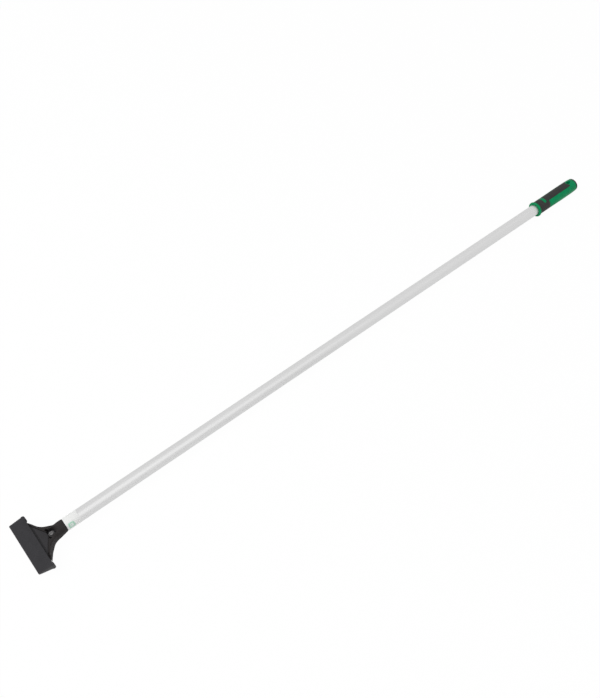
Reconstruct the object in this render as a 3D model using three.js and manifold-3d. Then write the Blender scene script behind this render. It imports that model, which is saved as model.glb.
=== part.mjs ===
// Long-handled blade scraper: a steel blade under a guard, clamped in a moulded head by one screw,
// on a round aluminium tube that ends in a two-colour grip with a hang hole.
// Millimetres. +X runs from the blade to the grip, +Y across the blade, +Z up.
// Head and tube are placed from the shoulder, where they meet on the tube's axis; the grip's own
// pieces are placed from the front of its flange.
import * as THREE from "three";
import { mergeVertices } from "three/addons/utils/BufferGeometryUtils.js";
import Module from "manifold-3d";

// Handle tube
const tube_outer = 22;
const tube_wall = 1.1;
const tube_visible = 1103;

// Clearances shared by all the pieces
const fit_gap = 0.2; // radial, between a bore and what sits in it
const seam_gap = 0.3; // between two pieces shaped to each other
const slide_gap = 0.1; // each side of the blade
const cut_over = 2; // how far a cutting solid runs past what it cuts

// Head: neck, fan and lower jaw
const neck_length = 8;
const neck_end_round = 1.2;
const neck_end_reach = 3.2; // along the neck, over which its end is rounded
const flare_start = 14;
const flare_radius = 28;
const fan_angle = THREE.MathUtils.degToRad(60);
const ramp_angle = THREE.MathUtils.degToRad(19);
const head_to_guard = 46;
const rib_top = 7.2;
const rib_width = 3.1;
const fan_end_gap = 0.4;
const trench_length = 3.4; // from the guard back to the ribs and the flat between them
const bed_top = 3.6;
const edge_round = 1.5;
const top_blend = 8.5; // over which the neck's top comes down to the ribs
const upper_corner_blend = 18;
const lower_corner_blend = 16;
const wall_draft = THREE.MathUtils.degToRad(11);
const draft_start = 26;
const draft_blend = 10;
const jaw_tip_thickness = 3.3;
const jaw_set_in = 0.7;
const spigot_length = 40;
const spigot_bore = 12;
const spigot_floor = 6;

// Blade
const blade_width = 95;
const blade_depth = 22;
const blade_thickness = 1;
const blade_bevel = 2.2;
const blade_edge_thickness = 0.15;
const blade_showing = 9.4;
const jaw_side_step = 1;
const peg_diameter = 3;
const peg_clearance = 0.4;
const peg_spacing = 50;
const peg_from_blade_rear = 5.6;
const peg_height = 2.3;

// Clamp plate
const jaw_plate_thickness = 1.7;
const trench_web = 1;
const clamp_gap = 0.4;
const seam_width = 0.8; // between the plate and the ribs
const tongue_radius = 6.6;
const tongue_top = 0.6;
const tongue_thickness = 2;
const tongue_side_gap = 0.6;
const riser_length = 2.8;
const screw_behind_apex = 3.1;
const screw_well_radius = 5.8;
const scoop_radius = 6;
const scoop_lean = THREE.MathUtils.degToRad(38);
const relief_from_screw = 8.6;
const relief_radius = 2.2;
const relief_angle = THREE.MathUtils.degToRad(118);

// Clamp screw, washer and nut
const screw_diameter = 4;
const screw_pitch = 0.7;
const screw_head_diameter = 7.6;
const screw_head_height = 2.2;
const screw_length = 10;
const screw_edge_round = 0.5;
const recess_width = 1.1;
const recess_length = 4.4;
const recess_depth = 1.2;
const washer_diameter = 9;
const washer_thickness = 0.5;
const nut_across_flats = 7;
const nut_height = 3.2;
const nut_tip = 0.2;

// Blade guard
const guard_wall = 1.2;
const guard_front_wall = 1.5;
const guard_roof_gap = 0.2;
const guard_tip_gap = 0.6;
const guard_side_gap = 0.25;
const guard_rear_spread = 1.6;
const guard_corner_radius = 1.6;
const guard_edge_round = 0.8;
const ear_radius = 3.6;
const ear_set_out = 0.6;
const ear_reach = 1.6;

// Rivet through the tube into the spigot
const rivet_from_shoulder = 30;
const rivet_diameter = 3.2;
const rivet_head_diameter = 6.4;
const rivet_head_height = 1.3;
const rivet_bulb_diameter = 4.6;
const rivet_bulb_height = 1;
const rivet_dome_shares = [[0.5, 1], [0.85, 0.5]]; // of the head's radius and height

// Wrap-round label
const label_start = 0.6;
const label_length = 24;
const label_thickness = 0.15;
const label_gap = 0.05;

// Grip core, its rubber skin and its end cap
const grip_length = 120;
const grip_turn = THREE.MathUtils.degToRad(-11.25);
const flange_rise = 2;
const flange_rim_at = 2.2;
const flange_rim_length = 1.4;
const flange_mouth_width = 1.6;
const flange_mouth_depth = 1.3;
const flange_lip_drop = 1;
const flange_lip_at = 0.6;
const flange_length = 5.7;
const core_wall = 1.7;
const collar_end = 33.1;
const belly_swell = 0.3;
const belly_share = 0.58; // of the grip's length
const waist_swell = 0.2;
const waist_from_end = 24;
const pommel_taper = 0.1;
const pommel_from_end = 12;
const pommel_end_taper = 0.5;
const tube_from_end = 28;
const cap_length = 4.6;
const cap_dome_shares = [[0.7, 0.03], [0.9, 0.2]]; // of the cap's length, back and in
const cap_flat_radius = 6;
const cap_stem_diameter = 8;
const cap_stem_length = 4;
const skin_thickness = 0.9;
const panel_half_width = 8.5;
const panel_from_end = 20;
const panel_corner = 2.4;
const hang_hole_from_end = 17;
const hang_hole_length = 10.4;
const hang_hole_width = 7.6;
const hang_hole_rim = 1.6;
const accent_at = 23.8;
const accent_length = 7.2;
const accent_half_width = 9.4;

// Roundness and fineness of the mesh
const least_flat = 0.02;
const weld_distance = 0.0001;
const merge_distance = 0.0002;
const round_sides = 64;
const small_sides = 24;
const corner_steps = 6;
const bevel_steps = 2;
const flare_steps = 14;
const grip_steps = 22;

// Places worked out from the sizes above
const neck_radius = tube_outer / 2;
const tube_inner = tube_outer - 2 * tube_wall;
const flare_end_x = -flare_start - flare_radius * Math.sin(fan_angle);
const flare_end_y = neck_radius + flare_radius * (1 - Math.cos(fan_angle));
const guard_rear_x = -head_to_guard;
const fan_end_x = guard_rear_x + fan_end_gap;
const trench_rear_x = guard_rear_x + trench_length;
const jaw_rear_x = guard_rear_x - jaw_set_in;
const blade_rear_x = jaw_rear_x - jaw_set_in;
const blade_edge_x = blade_rear_x - blade_depth;
const jaw_front_x = blade_edge_x + blade_showing;
const guard_front_x = blade_edge_x - guard_tip_gap - guard_front_wall;
const jaw_half_width = blade_width / 2 - jaw_side_step;
const blade_bottom = bed_top + slide_gap;
const blade_top = blade_bottom + blade_thickness;
const plate_bottom = blade_top + slide_gap;
const plate_top = plate_bottom + jaw_plate_thickness;
const heel_bottom = bed_top + seam_gap;
const tongue_bottom = tongue_top - tongue_thickness;
const well_floor = tongue_bottom - seam_gap;
const seam_drop = rib_width / Math.cos(fan_angle);
const apex_x = flare_end_x + (flare_end_y - seam_drop) / Math.tan(fan_angle);
const screw_x = apex_x + screw_behind_apex;
const riser_rear_x = screw_x - screw_well_radius;
const riser_front_x = riser_rear_x - riser_length;
const head_seat = tongue_top + washer_thickness;
const screw_tip = head_seat - screw_length;
const nut_bottom = screw_tip + nut_tip;
const nut_top = nut_bottom + nut_height;
const lift = screw_pitch;
const guard_roof = plate_top + lift + guard_roof_gap;
const guard_top = guard_roof + guard_wall;
const guard_inner_half = blade_width / 2 + guard_side_gap;
const guard_front_half = guard_inner_half + guard_wall;
const guard_rear_half = guard_front_half + guard_rear_spread;
const peg_x = blade_rear_x - peg_from_blade_rear;
const grip_start_x = tube_visible;
const grip_end_x = grip_start_x + grip_length;
const belly_at = grip_length * belly_share;
const waist_at = grip_length - waist_from_end;
const pommel_at = grip_length - pommel_from_end;
const panel_end = grip_length - panel_from_end;
const hang_hole_at = grip_length - hang_hole_from_end;
const tube_in_grip = grip_length - tube_from_end;
const tube_end_x = grip_start_x + tube_in_grip;
const grip_bore_radius = tube_outer / 2 + fit_gap / 2;
const collar_radius = grip_bore_radius + core_wall + seam_gap + skin_thickness;
const flange_radius = collar_radius + flange_rise;
const pommel_end_radius = collar_radius - pommel_end_taper;

const wasm = await Module();
wasm.setup();

// A closed three.js geometry as a solid that can be joined and cut
function solid(geometry) {
  const plain = geometry.clone();
  plain.deleteAttribute("normal");
  plain.deleteAttribute("uv");
  const merged = mergeVertices(plain, weld_distance);
  return new wasm.Manifold(
    new wasm.Mesh({
      numProp: 3,
      vertProperties: new Float32Array(merged.attributes.position.array),
      triVerts: new Uint32Array(merged.index.array),
    }),
  );
}

// A solid back as a three.js geometry with flat-shaded faces, without the triangles that close up
// when the points nearest each other are merged
function surface(body) {
  const mesh = body.getMesh();
  const raw = new THREE.BufferGeometry();
  raw.setAttribute("position", new THREE.BufferAttribute(new Float32Array(mesh.vertProperties), 3));
  raw.setIndex(new THREE.BufferAttribute(new Uint32Array(mesh.triVerts), 1));
  const merged = mergeVertices(raw, merge_distance);
  const kept = [];
  for (let start = 0; start < merged.index.count; start += 3) {
    const [a, b, c] = merged.index.array.slice(start, start + 3);
    if (a !== b && b !== c && c !== a) kept.push(a, b, c);
  }
  merged.setIndex(kept);
  const faceted = merged.toNonIndexed();
  faceted.computeVertexNormals();
  return faceted;
}

function joined(...bodies) {
  return bodies.reduce((whole, body) => whole.add(body));
}

// A flat outline in X and Y, raised from one height to another
function raised(shape, bottom, top) {
  const geometry = new THREE.ExtrudeGeometry(shape, {
    depth: top - bottom,
    bevelEnabled: false,
    curveSegments: corner_steps,
  });
  return solid(geometry.translate(0, 0, bottom));
}

// The same with its upper rim rounded; the lower rim is rounded too and is cut away by the caller
function raisedRound(shape, bottom, top, round) {
  const geometry = new THREE.ExtrudeGeometry(shape, {
    depth: top - bottom - 2 * round,
    bevelEnabled: true,
    bevelThickness: round,
    bevelSize: round,
    bevelOffset: -round,
    bevelSegments: bevel_steps,
    curveSegments: corner_steps,
  });
  return solid(geometry.translate(0, 0, bottom + round));
}

// An outline of X and Z points, drawn out across the blade to both sides of the middle
function spanned(points, half_width) {
  const shape = new THREE.Shape(points.map(([x, z]) => new THREE.Vector2(x, z)));
  const geometry = new THREE.ExtrudeGeometry(shape, { depth: 2 * half_width, bevelEnabled: false });
  return solid(geometry.rotateX(Math.PI / 2).translate(0, half_width, 0));
}

// A profile of [along, radius] points turned about the tube's axis
function turned(points, sides = round_sides) {
  const profile = points.map(([along, radius]) => new THREE.Vector2(radius, along));
  const geometry = new THREE.LatheGeometry(profile, sides);
  return solid(geometry.rotateZ(-Math.PI / 2));
}

// A profile of [radius, height] points turned about an upright axis at x, y
function upright(points, x, y, sides = small_sides) {
  const profile = points.map(([radius, height]) => new THREE.Vector2(radius, height));
  const geometry = new THREE.LatheGeometry(profile, sides);
  return solid(geometry.rotateX(Math.PI / 2).translate(x, y, 0));
}

// An upright round bar at x, y
function post(radius, x, y, bottom, top, sides = small_sides) {
  return upright([[0, bottom], [radius, bottom], [radius, top], [0, top]], x, y, sides);
}

function tube(start, end, inner, outer) {
  return turned([[start, inner], [start, outer], [end, outer], [end, inner], [start, inner]]);
}

function bar(start, end, radius) {
  return turned([[start, 0], [start, radius], [end, radius], [end, 0]]);
}

function polygon(points) {
  return new THREE.Shape(points.map(([x, y]) => new THREE.Vector2(x, y)));
}

function disc(x, y, radius) {
  const quarter = (start) => [x, y, radius, (start * Math.PI) / 2, ((start + 1) * Math.PI) / 2];
  return [0, 1, 2, 3].reduce((shape, start) => shape.absarc(...quarter(start)), new THREE.Shape());
}

// Rings of points that follow each other towards the blade, joined into a closed skin
function lofted(rings) {
  const count = rings[0].length;
  const positions = [];
  const indices = [];
  for (const ring of rings) {
    for (const point of ring) positions.push(...point);
  }
  for (let ring = 0; ring + 1 < rings.length; ring++) {
    for (let side = 0; side < count; side++) {
      const a = ring * count + side;
      const b = ring * count + ((side + 1) % count);
      indices.push(a, a + count, b);
      indices.push(b, a + count, b + count);
    }
  }
  const last = (rings.length - 1) * count;
  for (let side = 1; side + 1 < count; side++) {
    indices.push(0, side, side + 1);
    indices.push(last, last + side + 1, last + side);
  }
  const geometry = new THREE.BufferGeometry();
  geometry.setAttribute("position", new THREE.Float32BufferAttribute(positions, 3));
  geometry.setIndex(indices);
  return solid(geometry);
}

function eased(share) {
  const held = THREE.MathUtils.clamp(share, 0, 1);
  return held * held * (3 - 2 * held);
}

// Height of the head's sloping underside, from the jaw's tip down to the bottom of the neck
function underside(x) {
  return bed_top - jaw_tip_thickness - Math.tan(ramp_angle) * (x - jaw_front_x);
}

// Half the width of the fan: the neck, an arc, then a straight side at the fan's angle
function fanHalfWidth(x) {
  const run = -flare_start - x;
  if (run <= 0) return neck_radius;
  if (x < flare_end_x) return flare_end_y + (flare_end_x - x) * Math.tan(fan_angle);
  return neck_radius + flare_radius - Math.sqrt(flare_radius ** 2 - run ** 2);
}

// Half the width between the ribs at x, where the clamp plate lies
function seamHalfWidth(x) {
  return (apex_x - x) * Math.tan(fan_angle);
}

// One section of the head, drawn in on all sides: a rectangle with rounded corners that becomes the
// neck's circle, wider below than above by the draft of its walls
function headSection(x, drawn_in = 0) {
  const past_neck = -x - neck_length;
  const top = THREE.MathUtils.lerp(neck_radius, rib_top, eased(past_neck / top_blend));
  const bottom = Math.max(-neck_radius, underside(x));
  const spread = Math.tan(wall_draft) * (top - bottom) * eased((-x - draft_start) / draft_blend);
  const upper_half = fanHalfWidth(x);
  const upper_share = eased(past_neck / upper_corner_blend);
  const lower_share = Math.min(-x / lower_corner_blend, 1);
  const corners = [
    [1, 1, upper_half, upper_share],
    [-1, 1, upper_half, upper_share],
    [-1, -1, upper_half + spread, lower_share],
    [1, -1, upper_half + spread, lower_share],
  ];
  const ring = [];
  for (const [quarter, [right, up, half, share]] of corners.entries()) {
    const wanted = THREE.MathUtils.lerp(neck_radius, edge_round, share);
    const full = Math.min(wanted, half - least_flat, (top - bottom) / 2 - least_flat);
    const y = right * (half - full);
    const z = up > 0 ? top - full : bottom + full;
    const radius = full - drawn_in;
    for (let step = 0; step <= corner_steps; step++) {
      const angle = (quarter + step / corner_steps) * (Math.PI / 2);
      ring.push([x, y + radius * Math.cos(angle), z + radius * Math.sin(angle)]);
    }
  }
  return ring;
}

// Outline between the ribs from the guard back to x, drawn in by a gap
function seamOutline(front_x, rear_x, gap) {
  const inset = gap / Math.cos(fan_angle);
  const front = seamHalfWidth(front_x) - inset;
  const rear = Math.max(seamHalfWidth(rear_x) - inset, gap);
  return polygon([[front_x, -front], [rear_x, -rear], [rear_x, rear], [front_x, front]]);
}

// Head moulded in one: neck, fan with its two ribs, lower jaw with blade pegs, and the spigot
function headBody() {
  const rings = [];
  for (let step = 0; step <= bevel_steps; step++) {
    const angle = (step / bevel_steps) * (Math.PI / 2);
    const x = neck_end_reach * (Math.cos(angle) - 1);
    rings.push(headSection(x, neck_end_round * (1 - Math.sin(angle))));
  }
  rings.push(headSection(-neck_length));
  const run = -fan_end_x - neck_length;
  for (let step = 1; step <= flare_steps; step++) {
    rings.push(headSection(-neck_length - (run * step) / flare_steps));
  }
  const fan = lofted(rings);
  const jaw_profile = (front, rear) => [
    [front, underside(front)],
    [rear, underside(rear)],
    [rear, bed_top],
    [front, bed_top],
  ];
  const jaw = spanned(jaw_profile(jaw_front_x, jaw_rear_x), jaw_half_width);
  const bridge_half = fanHalfWidth(fan_end_x) - edge_round;
  const bridge = spanned(jaw_profile(jaw_rear_x - cut_over, fan_end_x + cut_over), bridge_half);
  const spigot_radius = tube_inner / 2 - fit_gap;
  const spigot = bar(-neck_length / 2, spigot_length, spigot_radius);
  const body = joined(fan, jaw, bridge, spigot, ...pegs());
  const well_front_x = riser_front_x - seam_gap;
  const high = neck_radius + cut_over;
  const seat = seamOutline(fan_end_x - cut_over, riser_front_x, 0);
  const riser_space = seamOutline(well_front_x, riser_rear_x, 0);
  const low = screw_tip - 2 * cut_over;
  const cuts = [
    raised(seat, bed_top, high),
    trench(fan_end_x - cut_over, bed_top, high),
    raised(riser_space, well_floor, high),
    post(tongue_radius + tongue_side_gap, screw_x, 0, well_floor, high, round_sides),
    ...reliefs(high),
    scoop(high),
    screwHole(low, high),
    nutBlank(nut_across_flats / 2 + fit_gap, low, nut_top + fit_gap),
    bar(spigot_floor, spigot_length + cut_over, spigot_bore / 2),
    post(rivet_diameter / 2 + fit_gap, rivet_from_shoulder, 0, -tube_outer, 0),
  ];
  return body.subtract(joined(...cuts));
}

// Space from front_x back to the ribs and the flat between them
function trench(front_x, bottom, top) {
  const profile = [
    [front_x, bottom],
    [trench_rear_x, bottom],
    [trench_rear_x, top],
    [front_x, top],
  ];
  return spanned(profile, guard_rear_half);
}

// Two pegs on the jaw that hold the blade and the clamp plate in place
function pegs() {
  const side = (y) => post(peg_diameter / 2, peg_x, y, bed_top - peg_diameter / 2, bed_top + peg_height);
  return [side(peg_spacing / 2), side(-peg_spacing / 2)];
}

// Round corners of the pocket beside the tongue
function reliefs(high) {
  const x = screw_x + relief_from_screw * Math.cos(relief_angle);
  const y = relief_from_screw * Math.sin(relief_angle);
  return [post(relief_radius, x, y, well_floor, high), post(relief_radius, x, -y, well_floor, high)];
}

// Scoop that opens the screw's pocket towards the neck: a round bar that leans back
function scoop(high) {
  const lean = Math.tan(scoop_lean);
  const leaning = new THREE.Matrix4().makeTranslation(screw_x - lean * tongue_top, 0, 0);
  leaning.multiply(new THREE.Matrix4().makeShear(0, 0, 0, 0, lean, 0));
  return post(scoop_radius, 0, 0, tongue_top, high, round_sides).transform(leaning.elements);
}

// Hole that the screw passes through
function screwHole(bottom, top) {
  return post(screw_diameter / 2 + fit_gap, screw_x, 0, bottom, top);
}

// A hexagon of the given inner radius about the screw
function nutBlank(inner_radius, bottom, top) {
  return post(inner_radius / Math.cos(Math.PI / 6), screw_x, 0, bottom, top, 6);
}

// Cross-ground blade with a single bevel and a notch for each peg
function blade() {
  const plate = spanned(
    [
      [blade_edge_x, blade_bottom],
      [blade_rear_x, blade_bottom],
      [blade_rear_x, blade_top],
      [blade_edge_x + blade_bevel, blade_top],
      [blade_edge_x, blade_bottom + blade_edge_thickness],
    ],
    blade_width / 2,
  );
  const notch_radius = peg_diameter / 2 + peg_clearance;
  const notch = (y) => {
    const outline = new THREE.Shape();
    outline.moveTo(blade_rear_x + cut_over, y + notch_radius);
    outline.lineTo(peg_x, y + notch_radius);
    outline.absarc(peg_x, y, notch_radius, Math.PI / 2, (3 * Math.PI) / 2);
    outline.lineTo(blade_rear_x + cut_over, y - notch_radius);
    return raised(outline, blade_bottom - cut_over, blade_top + cut_over);
  };
  return plate.subtract(joined(notch(peg_spacing / 2), notch(-peg_spacing / 2)));
}

// Upper jaw over the blade, the flat between the ribs, and a low round tongue under the screw
function clampPlate() {
  const jaw_front = jaw_front_x + clamp_gap;
  const jaw_rear = jaw_rear_x;
  const jaw = raised(
    polygon([
      [jaw_front, -jaw_half_width],
      [jaw_rear, -jaw_half_width],
      [jaw_rear, jaw_half_width],
      [jaw_front, jaw_half_width],
    ]),
    plate_bottom,
    plate_top,
  );
  const heel = raised(seamOutline(jaw_rear, riser_rear_x, seam_width), heel_bottom, plate_top);
  const riser = raised(seamOutline(riser_front_x, riser_rear_x, seam_width), tongue_bottom, plate_top);
  const tongue = post(tongue_radius, screw_x, 0, tongue_bottom, tongue_top, round_sides);
  const well = post(screw_well_radius, screw_x, 0, tongue_top, plate_top + cut_over, round_sides);
  const hole = screwHole(tongue_bottom - cut_over, plate_top);
  const groove = trench(guard_rear_x + slide_gap, heel_bottom + trench_web, plate_top + cut_over);
  const peg_hole = (y) =>
    post(peg_diameter / 2 + peg_clearance, peg_x, y, plate_bottom - cut_over, plate_top + cut_over);
  const blank = joined(jaw, heel, riser, tongue);
  const peg_holes = [peg_hole(peg_spacing / 2), peg_hole(-peg_spacing / 2)];
  return blank.subtract(joined(well, hole, groove, ...peg_holes));
}

// Pan-head screw with a cross recess
function clampScrew() {
  const head_radius = screw_head_diameter / 2;
  const head_top = head_seat + screw_head_height;
  const body = upright(
    [
      [0, screw_tip],
      [screw_diameter / 2, screw_tip],
      [screw_diameter / 2, head_seat],
      [head_radius, head_seat],
      [head_radius, head_top - 2 * screw_edge_round],
      [head_radius - screw_edge_round, head_top - screw_edge_round],
      [head_radius - 2 * screw_edge_round, head_top],
      [0, head_top],
    ],
    screw_x,
    0,
  );
  const arm = (length, width) => {
    const outline = polygon([
      [screw_x - length / 2, -width / 2],
      [screw_x + length / 2, -width / 2],
      [screw_x + length / 2, width / 2],
      [screw_x - length / 2, width / 2],
    ]);
    return raised(outline, head_top - recess_depth, head_top + cut_over);
  };
  return body.subtract(joined(arm(recess_length, recess_width), arm(recess_width, recess_length)));
}

function clampWasher() {
  const ring = post(washer_diameter / 2, screw_x, 0, tongue_top, head_seat);
  return ring.subtract(screwHole(tongue_top - cut_over, head_seat + cut_over));
}

function clampNut() {
  const blank = nutBlank(nut_across_flats / 2, nut_bottom, nut_top);
  return blank.subtract(screwHole(nut_bottom - cut_over, nut_top + cut_over));
}

// Guard: a flat-topped wedge, open at the back, with a round ear at each rear corner
function bladeGuard() {
  const ear_x = guard_rear_x + ear_reach - ear_radius;
  const ear_y = guard_rear_half + ear_set_out - ear_radius;
  const front_corner = guard_front_x + guard_corner_radius;
  const plan = new THREE.Shape();
  plan.moveTo(guard_rear_x, -guard_rear_half);
  plan.lineTo(guard_rear_x, guard_rear_half);
  plan.lineTo(front_corner, guard_front_half);
  const corner_y = guard_front_half - guard_corner_radius;
  plan.absarc(front_corner, corner_y, guard_corner_radius, Math.PI / 2, Math.PI);
  plan.lineTo(guard_front_x, -corner_y);
  plan.absarc(front_corner, -corner_y, guard_corner_radius, Math.PI, (3 * Math.PI) / 2);
  const deep = underside(guard_rear_x + ear_reach) - guard_wall - 2 * cut_over;
  const block = joined(
    raisedRound(plan, deep, guard_top, guard_edge_round),
    raisedRound(disc(ear_x, ear_y, ear_radius), deep, guard_top, guard_edge_round),
    raisedRound(disc(ear_x, -ear_y, ear_radius), deep, guard_top, guard_edge_round),
  );
  const wedge = (front, rear, drop, top) => [
    [front, underside(front) - drop],
    [rear, underside(rear) - drop],
    [rear, top],
    [front, top],
  ];
  const past_rear = guard_rear_x + ear_reach + cut_over;
  const shell = spanned(
    wedge(guard_front_x - cut_over, past_rear, seam_gap + guard_wall, guard_top + cut_over),
    guard_rear_half + ear_radius,
  );
  const hollow_front = guard_front_x + guard_front_wall;
  const hollow = spanned(wedge(hollow_front, past_rear, seam_gap, guard_roof), guard_inner_half);
  return block.intersect(shell).subtract(hollow);
}

function handleTube() {
  const sleeve = tube(0, tube_end_x, tube_inner / 2, tube_outer / 2);
  return sleeve.subtract(post(rivet_diameter / 2 + fit_gap, rivet_from_shoulder, 0, -tube_outer, 0));
}

// Blind rivet under the tube: domed head, shank, and the bulb drawn up inside the spigot
function spigotRivet() {
  const seat = -tube_outer / 2 - fit_gap / 2;
  const bulb_top = -spigot_bore / 2 + 2 * rivet_bulb_height;
  const shank = rivet_diameter / 2;
  const head = rivet_head_diameter / 2;
  const dome = rivet_dome_shares.map(([out, down]) => [head * out, seat - rivet_head_height * down]);
  return upright(
    [
      [0, seat - rivet_head_height],
      ...dome,
      [head, seat],
      [shank, seat],
      [shank, bulb_top - rivet_bulb_height],
      [rivet_bulb_diameter / 2, bulb_top - rivet_bulb_height],
      [rivet_bulb_diameter / 2, bulb_top],
      [0, bulb_top],
    ],
    rivet_from_shoulder,
    0,
  );
}

function tubeLabel() {
  const inner = tube_outer / 2 + label_gap;
  return tube(label_start, label_start + label_length, inner, inner + label_thickness);
}

// Outline of the grip from the flange's back to its end, as [along, radius]
function gripOutline() {
  const knots = [
    [flange_length, collar_radius],
    [collar_end, collar_radius],
    [belly_at, collar_radius + belly_swell],
    [waist_at, collar_radius + waist_swell],
    [pommel_at, collar_radius - pommel_taper],
    [grip_length - cap_length, pommel_end_radius],
  ];
  const curve = new THREE.SplineCurve(knots.map(([along, radius]) => new THREE.Vector2(along, radius)));
  return curve.getPoints(grip_steps).map((point) => [point.x, point.y]);
}

// Solid of the whole grip
function gripForm() {
  const flange = [
    [flange_mouth_depth, 0],
    [flange_mouth_depth, tube_outer / 2 + flange_mouth_width],
    [flange_lip_at, flange_radius - flange_lip_drop],
    [flange_rim_at, flange_radius],
    [flange_rim_at + flange_rim_length, flange_radius],
  ];
  const body = gripOutline();
  const end = grip_length - cap_length;
  return turned([...flange, ...body, [end, 0]]);
}

// The grip behind the flange, smaller all round by a depth
function gripInside(depth) {
  const body = gripOutline().map(([along, radius]) => [along, radius - depth]);
  const start = body[0][0] - cut_over;
  const end = body[body.length - 1][0];
  return turned([[start, 0], [start, body[0][1]], ...body, [end, 0]]);
}

// Outline of the rubber panel seen from above: square at the collar, hollowed round the hang hole
function panelOutline(grow) {
  const half = panel_half_width + grow;
  const start = flange_length - grow;
  const end = panel_end + grow;
  const corner = panel_corner;
  const outline = new THREE.Shape();
  outline.moveTo(start, -half);
  outline.lineTo(end - corner, -half);
  outline.absarc(end - corner, -half + corner, corner, -Math.PI / 2, 0);
  outline.lineTo(end, half - corner);
  outline.absarc(end - corner, half - corner, corner, 0, Math.PI / 2);
  outline.lineTo(start, half);
  return outline;
}

// Long round-ended outline about a point on the grip
function slot(along, across_half, length) {
  const end_radius = Math.min(length / 2, across_half);
  const reach = length / 2 - end_radius;
  const side = across_half - end_radius;
  const outline = new THREE.Shape();
  outline.absarc(along + reach, side, end_radius, 0, Math.PI / 2);
  outline.absarc(along - reach, side, end_radius, Math.PI / 2, Math.PI);
  outline.absarc(along - reach, -side, end_radius, Math.PI, (3 * Math.PI) / 2);
  outline.absarc(along + reach, -side, end_radius, (3 * Math.PI) / 2, 2 * Math.PI);
  return outline;
}

// Space of the rubber skin, grown by a gap: a collar with a window above and below, and two panels
function skinSpace(grow) {
  const far = 2 * flange_radius;
  const collar = bar(flange_length - grow, collar_end + grow, far);
  const window = raised(slot(accent_at, accent_half_width - grow, accent_length - 2 * grow), -far, far);
  const panels = raised(panelOutline(grow), -far, far);
  const rim = slot(
    hang_hole_at,
    hang_hole_width / 2 + hang_hole_rim - grow,
    hang_hole_length + 2 * (hang_hole_rim - grow),
  );
  const openings = joined(window, raised(rim, -far, far), gripInside(skin_thickness + grow));
  return joined(collar, panels).subtract(openings);
}

function gripSkin() {
  return gripForm().intersect(skinSpace(0));
}

// Hard core of the grip: flange, bore for the tube, hang hole, and the recess for the skin
function gripCore() {
  const far = 2 * flange_radius;
  const bore = bar(-cut_over, tube_in_grip + seam_gap, grip_bore_radius);
  const hang_hole = raised(slot(hang_hole_at, hang_hole_width / 2, hang_hole_length), -far, far);
  const stem_start = grip_length - cap_length - cap_stem_length - seam_gap;
  const stem_bore = bar(stem_start, grip_length, cap_stem_diameter / 2 + fit_gap);
  return gripForm().subtract(joined(bore, hang_hole, stem_bore, skinSpace(seam_gap)));
}

// Domed rubber cap on the end of the grip, held by a stem
function endCap() {
  const start = grip_length - cap_length;
  const rim = pommel_end_radius - seam_gap;
  const dome = cap_dome_shares.map(([back, inward]) => [
    start + cap_length * back,
    rim - cap_length * inward,
  ]);
  return turned([
    [start - cap_stem_length, 0],
    [start - cap_stem_length, cap_stem_diameter / 2],
    [start + seam_gap, cap_stem_diameter / 2],
    [start + seam_gap, rim],
    ...dome,
    [grip_length, cap_flat_radius],
    [grip_length, 0],
  ]);
}

const colours = {
  black_plastic: { color: 0x373535, roughness: 0.55, metalness: 0 },
  guard_plastic: { color: 0x3c3c3e, roughness: 0.6, metalness: 0 },
  blade_steel: { color: 0xb9bcc0, roughness: 0.3, metalness: 1 },
  plated_steel: { color: 0xa9a9ab, roughness: 0.35, metalness: 1 },
  tube_aluminium: { color: 0xd4d4d4, roughness: 0.4, metalness: 1 },
  label_film: { color: 0xf0f0f0, roughness: 0.4, metalness: 0 },
  green_plastic: { color: 0x05874b, roughness: 0.45, metalness: 0 },
  black_rubber: { color: 0x323230, roughness: 0.85, metalness: 0 },
};

const scraper = new THREE.Group();
scraper.position.set(-(guard_front_x + grip_end_x) / 2, 0, flange_radius);

function place(name, body, colour, holder = scraper) {
  const mesh = new THREE.Mesh(surface(body), new THREE.MeshStandardMaterial(colours[colour]));
  mesh.name = name;
  holder.add(mesh);
}

place("blade_guard", bladeGuard(), "guard_plastic");
place("blade", blade(), "blade_steel");
place("head_body", headBody(), "black_plastic");
place("clamp_plate", clampPlate(), "black_plastic");
place("clamp_screw", clampScrew(), "plated_steel");
place("clamp_washer", clampWasher(), "plated_steel");
place("clamp_nut", clampNut(), "plated_steel");
place("handle_tube", handleTube(), "tube_aluminium");
place("spigot_rivet", spigotRivet(), "tube_aluminium");
place("tube_label", tubeLabel(), "label_film");

// The grip was pressed on a little turned about the tube
const grip = new THREE.Group();
grip.rotation.x = grip_turn;
grip.position.x = grip_start_x;
scraper.add(grip);
place("grip_core", gripCore(), "green_plastic", grip);
place("grip_skin", gripSkin(), "black_rubber", grip);
place("end_cap", endCap(), "black_rubber", grip);

export default scraper;
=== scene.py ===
from math import cos, pi, radians, sin, tan

import bmesh
import bpy
import numpy as np
from bpy.props import FloatProperty, FloatVectorProperty, PointerProperty
from mathutils import Matrix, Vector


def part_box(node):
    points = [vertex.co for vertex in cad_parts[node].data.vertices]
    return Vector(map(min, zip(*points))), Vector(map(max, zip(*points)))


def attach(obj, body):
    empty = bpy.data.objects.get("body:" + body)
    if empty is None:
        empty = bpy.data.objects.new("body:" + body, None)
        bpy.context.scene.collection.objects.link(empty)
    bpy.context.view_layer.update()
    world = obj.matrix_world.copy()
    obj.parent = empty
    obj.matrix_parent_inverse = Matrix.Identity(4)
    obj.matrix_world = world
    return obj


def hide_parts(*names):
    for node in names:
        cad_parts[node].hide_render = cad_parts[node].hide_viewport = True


bl_info = {
    "name": "Long-handled blade scraper",
    "version": (1, 0, 0),
    "blender": (4, 5, 0),
    "location": "View3D > Sidebar > Scraper",
    "description": "Builds the visible pieces of a blade scraper around its packed frame",
    "category": "Object",
}

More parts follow.
